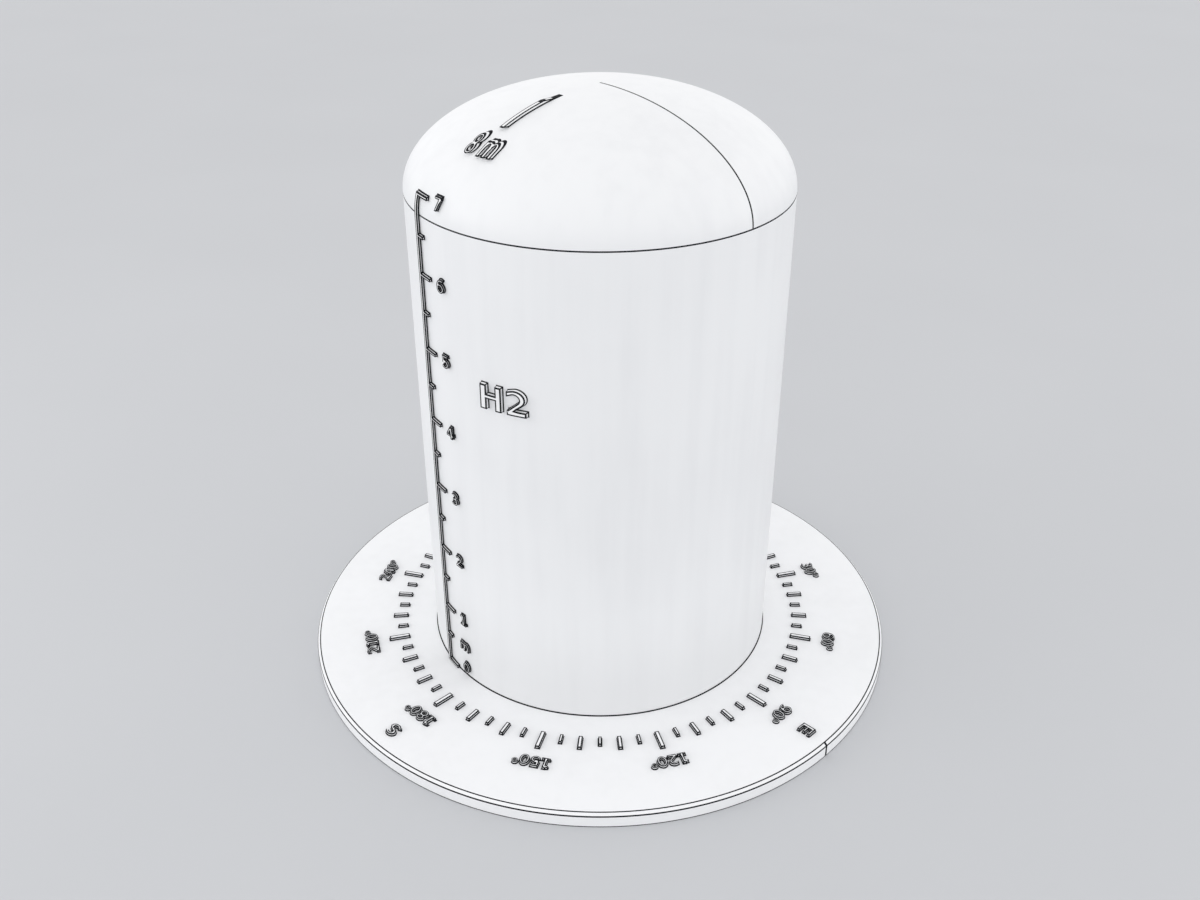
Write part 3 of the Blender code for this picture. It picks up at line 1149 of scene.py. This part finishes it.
class RaisedMark:
    """A mark that stands proud of a face: one or more closed bodies in one piece."""

    def __init__(self, relief: Relief) -> None:
        """Starts a piece with no body in it."""
        self.relief = relief
        self.sketch = Sketch()

    def add(self, polygons: Iterable[Polygon], carrier: Carrier) -> None:
        """Raises a flat shape from a face.

        Args:
            polygons: The shape, as polygons that may overlap.
            carrier: The face that it stands on.
        """
        relief = self.relief
        rims = [Rim(loop, relief.corner_line) for loop in loops_of(polygons)]
        walls = [(here, after) for rim in rims for _, here, after in neighbours(rim.points)]
        levels: list[tuple[list[int], list[int]]] = []
        for rim in rims:
            rim.thin(walls)
            rings = []
            for inset, lift, _ in relief.stations():
                places = [carrier.place(point.x, point.y, lift) for point in rim.moved(inset)]
                rings.append(self.sketch.ring(places))
            rings[0] = [rings[0][index] for index in rim.corner]
            for ring, below, (_, _, layer) in zip(rings, rings[1:], relief.stations()):
                layers = [Layer.LINE if lined else layer for lined in rim.lined]
                self.sketch.band(ring, below, layers)
            levels.append((rings[0], rings[-1]))
        for triangle in self._triangles(rims):
            face = [levels[rim][0][index] for rim, index in triangle]
            seat = [levels[rim][1][index] for rim, index in reversed(triangle)]
            self.sketch.face(face, Layer.BODY)
            self.sketch.face(seat, Layer.BODY)

    @staticmethod
    def _triangles(rims: Sequence[Rim]) -> list[list[tuple[int, int]]]:
        """The triangles that fill the shape, each corner as (rim, point)."""
        names: list[tuple[int, int]] = []
        faces = []
        inside = []
        for which, rim in enumerate(rims):
            outer = area([tuple(point) for point in rim.points]) > 0.0
            loop = [len(names) + index for index in range(len(rim.points))]
            names += [(which, index) for index in range(len(rim.points))]
            faces.append(loop if outer else loop[::-1])
            inside.append(1 if outer else -1)
        points = [rims[which].points[index] for which, index in names]
        found = delaunay_2d_cdt(points, [], faces, 1, 1e-7)
        kept = []
        for triangle, sources in zip(found[2], found[5]):
            if sum(inside[source] for source in sources) == 1:
                kept.append([names[found[3][index][0]] for index in triangle])
        return kept

    def make(self, name: str, finishes: Finishes, nodes: Sequence[str] = (), slot: Slot = Slot.MARKS) -> None:
        """Builds the piece and dresses it.

        Args:
            name: The piece's name.
            finishes: The shared materials.
            nodes: The nodes that it stands for.
            slot: Which finish it takes: the plinth's for Slot.PLINTH, the marks' otherwise.
        """
        body = finishes.plinth if slot is Slot.PLINTH else finishes.mark
        dress(self.sketch.make(name, smooth_degrees=25.0), body, finishes.line, nodes)


@dataclass(frozen=True)
class BarSize:
    """The width of a bar of the angle scale and its length."""

    width: float
    length: float


@dataclass(frozen=True)
class AngleScale:
    """The bars, degree labels and compass letters on the plinth."""

    sizes: Sizes
    relief: Relief = Relief()
    bar_relief: Relief = Relief(rim_line=0.015, wall_line=0.016)
    step: int = 5
    inner: float = 2.949
    fine: BarSize = BarSize(0.044, 0.145)
    ten: BarSize = BarSize(0.054, 0.215)
    thirty: BarSize = BarSize(0.061, 0.295)
    label_cap: float = 0.172
    label_radius: float = 3.505
    letter_cap: float = 0.198
    letter_radius: float = 3.957
    letters: tuple[tuple[str, str, float], ...] = (
        ("letter_north", "N", 0.0),
        ("letter_east", "E", 90.0),
        ("letter_south", "S", 180.0),
        ("letter_west", "W", 270.0),
    )

    def bar_size(self, angle: int) -> BarSize:
        """The size of the bar at an angle."""
        if angle % 30 == 0:
            return self.thirty
        return self.ten if angle % 10 == 0 else self.fine

    def build(self, finishes: Finishes) -> None:
        """Builds the ring of bars, the labels and the letters."""
        bars = RaisedMark(self.bar_relief)
        for angle in range(0, 360, self.step):
            size = self.bar_size(angle)
            half = 0.5 * size.width
            drawing = Bar(-half, self.inner, half, self.inner + size.length).polygons()
            bars.add(drawing, PlinthTop(self.sizes, angle))
        bars.make("angle_bars", finishes, slot=Slot.PLINTH)
        for angle in range(0, 360, 30):
            label = RaisedMark(self.relief)
            drawing = Text(f"{angle}o", self.label_cap).centred(0.0, self.label_radius - 0.5 * self.label_cap)
            label.add(drawing, PlinthTop(self.sizes, angle))
            label.make(f"angle_label_{angle:03d}", finishes, slot=Slot.PLINTH)
        for node, letter, angle in self.letters:
            mark = RaisedMark(self.relief)
            base = self.letter_radius - 0.5 * self.letter_cap
            mark.add(Text(letter, self.letter_cap).centred(0.0, base), PlinthTop(self.sizes, angle))
            mark.make(f"{node}_raised", finishes, [node])


@dataclass(frozen=True)
class HeightScale:
    """The rail with a bar each half metre up the shell, its figures and its unit."""

    sizes: Sizes
    relief: Relief = Relief()
    figure_relief: Relief = BOLD
    facing: float = 165.0
    left: float = -1.287
    rail: float = 0.052
    bar: float = 0.04
    long_bar: float = 0.257
    short_bar: float = 0.157
    top_mark: int = 7
    figure_cap: float = 0.171
    top_figure_cap: float = 0.158
    figure_middle: float = -0.818
    first_figure_level: float = 0.155
    unit_level: float = 0.46
    unit_middle: float = -0.83

    def build(self, finishes: Finishes) -> None:
        """Builds the rail, the figures and the unit."""
        face = TankFace(self.sizes, self.facing)
        drawing = Bar(self.left, 0.0, self.left + self.rail, self.top_mark + 0.5 * self.bar).polygons()
        for half in range(2 * self.top_mark + 1):
            length = self.long_bar if half % 2 == 0 else self.short_bar
            low = max(0.0, 0.5 * half - 0.5 * self.bar)
            drawing += Bar(self.left, low, self.left + length, low + self.bar).polygons()
        comb = RaisedMark(self.relief)
        comb.add(drawing, face)
        comb.make("height_rail", finishes, ["height_scale"])
        for metre in range(self.top_mark + 1):
            level = metre if metre > 0 else self.first_figure_level
            cap = self.top_figure_cap if metre == self.top_mark else self.figure_cap
            figure = RaisedMark(self.figure_relief)
            figure.add(Text(str(metre), cap).centred(self.figure_middle, level - 0.5 * cap), face)
            figure.make(f"figure_{metre}_raised", finishes, [f"height_figure_{metre}"])
        unit = RaisedMark(self.figure_relief)
        unit.add(Text("m", self.figure_cap).centred(self.unit_middle, self.unit_level), face)
        unit.make("unit_m_raised", finishes, ["height_unit_m"])


@dataclass(frozen=True)
class DomeMark:
    """The bar and the lettering near the top of the dome."""

    sizes: Sizes
    relief: Relief = FINE
    facing: float = 180.0
    baseline: float = 7.515
    figure_cap: float = 0.171
    figure_left: float = -0.231
    unit_cap: float = 0.182
    unit_stretch: float = 1.15
    unit_left: float = 0.006
    bar_sides: Point = (-0.052, 0.010)
    bar_levels: Point = (7.75, 7.95)

    def build(self, finishes: Finishes) -> None:
        """Builds the bar, the figure and the unit."""
        face = TankFace(self.sizes, self.facing)
        figure = RaisedMark(self.relief)
        figure.add(Text("8", self.figure_cap).at(self.figure_left, self.baseline), face)
        figure.make("dome_figure_8_raised", finishes, ["dome_figure_8"])
        unit = RaisedMark(self.relief)
        unit.add(Text("m", self.unit_cap, self.unit_stretch).at(self.unit_left, self.baseline), face)
        unit.make("dome_unit_m_raised", finishes, ["dome_unit_m"])
        bar = RaisedMark(self.relief)
        (left, right), (low, high) = self.bar_sides, self.bar_levels
        bar.add(Bar(left, low, right, high).polygons(), face)
        bar.make("dome_bar_raised", finishes, ["dome_mark_8m"])


@dataclass(frozen=True)
class ContentsSign:
    """The chemical symbol of the contents on the shell."""

    sizes: Sizes
    relief: Relief = Relief(0.058, rim_line=0.018, wall_line=0.012, corner_line=0.011, foot_line=0.015)
    facing: float = 162.0
    cap: float = 0.332
    level: float = 4.600
    letter_left: float = -0.342
    figure_left: float = 0.016
    figure_stretch: float = 1.12

    def build(self, finishes: Finishes) -> None:
        """Builds the letter and the figure."""
        face = TankFace(self.sizes, self.facing)
        letter = RaisedMark(self.relief)
        letter.add(Text("H", self.cap).at(self.letter_left, self.level), face)
        letter.make("contents_h_raised", finishes, ["contents_letter_h"])
        figure = RaisedMark(self.relief)
        figure.add(Text("2", self.cap, self.figure_stretch).at(self.figure_left, self.level), face)
        figure.make("contents_2_raised", finishes, ["contents_figure_2"])


# Studio


@dataclass(frozen=True)
class SoftBox:
    """A large soft lamp, placed round the tank."""

    name: str
    angle: float
    distance: float
    height: float
    size: float
    power: float

    def build(self, target: Vector) -> None:
        """Adds the lamp, aimed at the target."""
        data = bpy.data.lights.new(self.name, "AREA")
        data.shape = "SQUARE"
        data.size = self.size
        data.energy = self.power
        lamp = bpy.data.objects.new(self.name, data)
        lamp.location = heading(self.angle) * self.distance + Vector((0.0, 0.0, self.height))
        lamp.rotation_mode = "QUATERNION"
        lamp.rotation_quaternion = (target - lamp.location).to_track_quat("-Z", "Y")
        bpy.context.scene.collection.objects.link(lamp)


@dataclass(frozen=True)
class Studio:
    """The floor, the light and the camera at the photograph's viewing angle."""

    sizes: Sizes
    floor_radius: float = 300.0
    zenith: Colour = (0.835, 0.835, 0.84, 1.0)
    horizon: Colour = (1.335, 1.335, 1.34, 1.0)
    view_angle: float = 135.0
    view_distance: float = 15.417
    view_height: float = 11.680
    view_down: float = 30.0
    lens: float = 37.09
    shift: float = 0.00035

    def build(self) -> None:
        """Builds all of it."""
        self._floor()
        self._light()
        self._camera()

    def _floor(self) -> None:
        """A level disc under the plinth."""
        sketch = Sketch()
        turns = [2.0 * math.pi * step / 96 for step in range(96)]
        ring = sketch.ring(Vector((math.sin(t), math.cos(t), 0.0)) * self.floor_radius for t in turns)
        sketch.face(ring[::-1], Layer.BODY)
        floor = sketch.make("studio_floor")
        floor.data.materials.append(FloorCoat("pale_floor").make())

    def _light(self) -> None:
        """An even pale sky and two soft lamps."""
        world = bpy.data.worlds.new("studio_sky")
        world.use_nodes = True
        sky = Nodes(world.node_tree)
        rise = sky.height(sky.node("ShaderNodeTexCoord").outputs["Generated"])
        sky.feed(world.node_tree.nodes["Background"], {"Color": sky.blend(rise, self.horizon, self.zenith)})
        bpy.context.scene.world = world
        bpy.context.scene.view_settings.view_transform = "Standard"
        middle = Vector((0.0, 0.0, 0.5 * self.sizes.joint))
        SoftBox("left_lamp", 215.0, 26.0, 12.0, 12.0, 700.0).build(middle)
        SoftBox("right_lamp", 60.0, 26.0, 10.0, 12.0, 250.0).build(middle)

    def _camera(self) -> None:
        """The camera, looking down at the tank."""
        data = bpy.data.cameras.new("photo_view")
        data.lens = self.lens
        data.sensor_width = 36.0
        data.shift_y = self.shift
        data.clip_end = 2.0 * self.floor_radius
        camera = bpy.data.objects.new("photo_view", data)
        up = Vector((0.0, 0.0, 1.0))
        side = heading(self.view_angle)
        camera.location = side * self.view_distance + up * (self.sizes.plinth_top + self.view_height)
        tilt = math.radians(self.view_down)
        look = -side * math.cos(tilt) - up * math.sin(tilt)
        camera.rotation_mode = "QUATERNION"
        camera.rotation_quaternion = look.to_track_quat("-Z", "Y")
        bpy.context.scene.collection.objects.link(camera)
        bpy.context.scene.camera = camera


def main() -> None:
    """Builds the tank's pieces in order and the studio round them."""
    logging.basicConfig(level=logging.INFO, format="%(message)s")
    sizes = Sizes.from_frame()
    finishes = Finishes.make()
    for part in (Plinth, Tank, AngleScale, HeightScale, DomeMark, ContentsSign):
        part(sizes).build(finishes)
    Studio(sizes).build()


if __name__ == "__main__":
    main()
